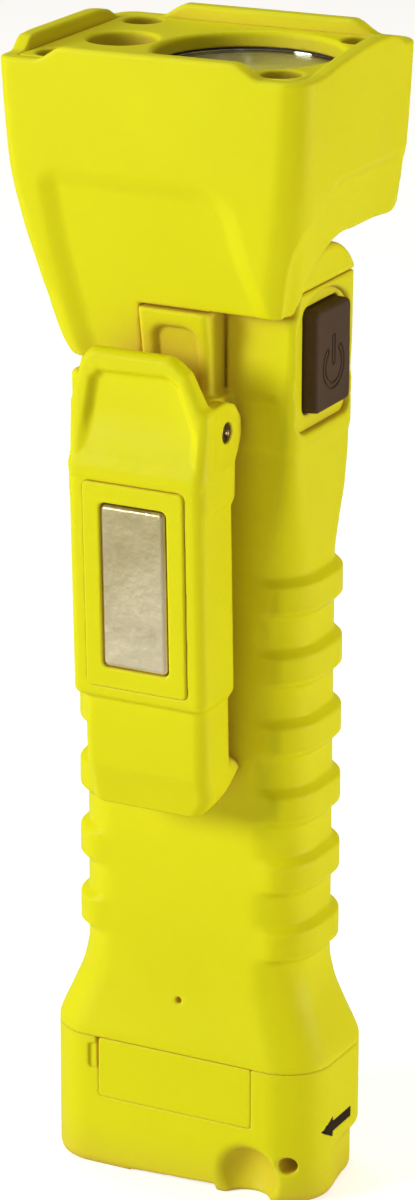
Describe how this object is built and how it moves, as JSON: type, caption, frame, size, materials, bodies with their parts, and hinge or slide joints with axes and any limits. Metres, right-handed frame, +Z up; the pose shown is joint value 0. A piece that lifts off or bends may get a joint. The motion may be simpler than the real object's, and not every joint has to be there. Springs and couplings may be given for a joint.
{
  "type": "firefighter flashlight",
  "caption": "Right-angle safety flashlight with a tilting rectangular head, ribbed flat grip, side push button, magnetic spring clip and sliding battery cap.",
  "frame": {"origin": "centre of the base of the battery cap, on the long axis of the grip", "axes": "+Z up the grip to the lamp, +X the button side, -Y the clip side"},
  "size_m": [0.054, 0.0474, 0.1944],
  "materials": {
    "yellow_plastic": "semi-gloss fluorescent yellow polycarbonate, fine moulded grain",
    "button_rubber": "matte dark brown-black moulded rubber",
    "mark_ink": "matte black inlay",
    "black_plastic": "matte black moulded plastic",
    "nickel": "brushed nickel plate, fine scratches",
    "dark_steel": "oiled dark steel",
    "spring_steel": "drawn spring wire",
    "aluminium": "machined",
    "clear_lens": "clear polycarbonate",
    "mirror_coat": "vacuum-metallised",
    "seal_rubber": "matte black seal",
    "circuit_board": "solder mask over glass-fibre board",
    "led_phosphor": "phosphor under clear dome",
    "contact_brass": "plated contact",
    "cell_wrap": "plain shrink wrap, no print",
    "wire_insulation": "silicone insulation"
  },
  "bodies": {
    "grip": {"grip_housing": "yellow_plastic", "hinge_cover": "yellow_plastic", "switch_bezel": "yellow_plastic", "tactile_switch": "black_plastic", "switch_board": "circuit_board", "switch_seal": "seal_rubber", "driver_board": "circuit_board", "battery_sleeve": "black_plastic", "battery_cells": "cell_wrap", "cell_springs": "spring_steel", "contact_board": "circuit_board", "mouth_gasket": "seal_rubber", "hinge_axle": "aluminium", "axle_nut": "dark_steel", "friction_washer": "spring_steel", "lamp_wires": "wire_insulation", "clip_pin": "dark_steel", "clip_spring": "spring_steel"},
    "head": {"head_housing": "yellow_plastic", "barrel_cap": "yellow_plastic", "bezel_plate": "yellow_plastic", "bezel_screws": "dark_steel", "main_lens": "clear_lens", "lens_gasket": "seal_rubber", "main_reflector": "mirror_coat", "main_led": "led_phosphor", "led_board": "circuit_board", "heat_sink": "aluminium", "lamp_frame": "black_plastic", "side_lens": "clear_lens", "side_reflector": "mirror_coat", "side_led": "led_phosphor", "hinge_seal": "seal_rubber"},
    "clip": {"clip_lever": "yellow_plastic", "magnet_holder": "yellow_plastic", "clip_magnet": "nickel", "magnet_backing": "dark_steel"},
    "button": {"power_button": "button_rubber", "button_plunger": "black_plastic"},
    "tail_cap": {"tail_cap": "yellow_plastic", "arrow_mark": "mark_ink", "tail_contact": "contact_brass", "latch_pin": "dark_steel"},
    "door_latch": {"door_latch": "yellow_plastic"}
  },
  "joints": [
    {"name": "head_tilt", "type": "hinge", "parent": "grip", "child": "head", "pos_m": [0, 0.00125, 0.1505], "axis": [-1, 0, 0], "range_deg": [0, 90]},
    {"name": "clip_hinge", "type": "hinge", "parent": "grip", "child": "clip", "pos_m": [0, -0.0175, 0.1344], "axis": [-1, 0, 0], "range_deg": [0, 15], "deforming": ["clip_spring"]},
    {"name": "button_press", "type": "slide", "parent": "grip", "child": "button", "axis": [-1, 0, 0], "range_m": [0, 0.0008]},
    {"name": "cap_slide", "type": "slide", "parent": "grip", "child": "tail_cap", "axis": [0, -1, 0], "range_m": [0, 0.026]},
    {"name": "latch_swing", "type": "hinge", "parent": "tail_cap", "child": "door_latch", "pos_m": [0, -0.0119, 0.0142], "axis": [1, 0, 0], "range_deg": [0, 12]}
  ]
}
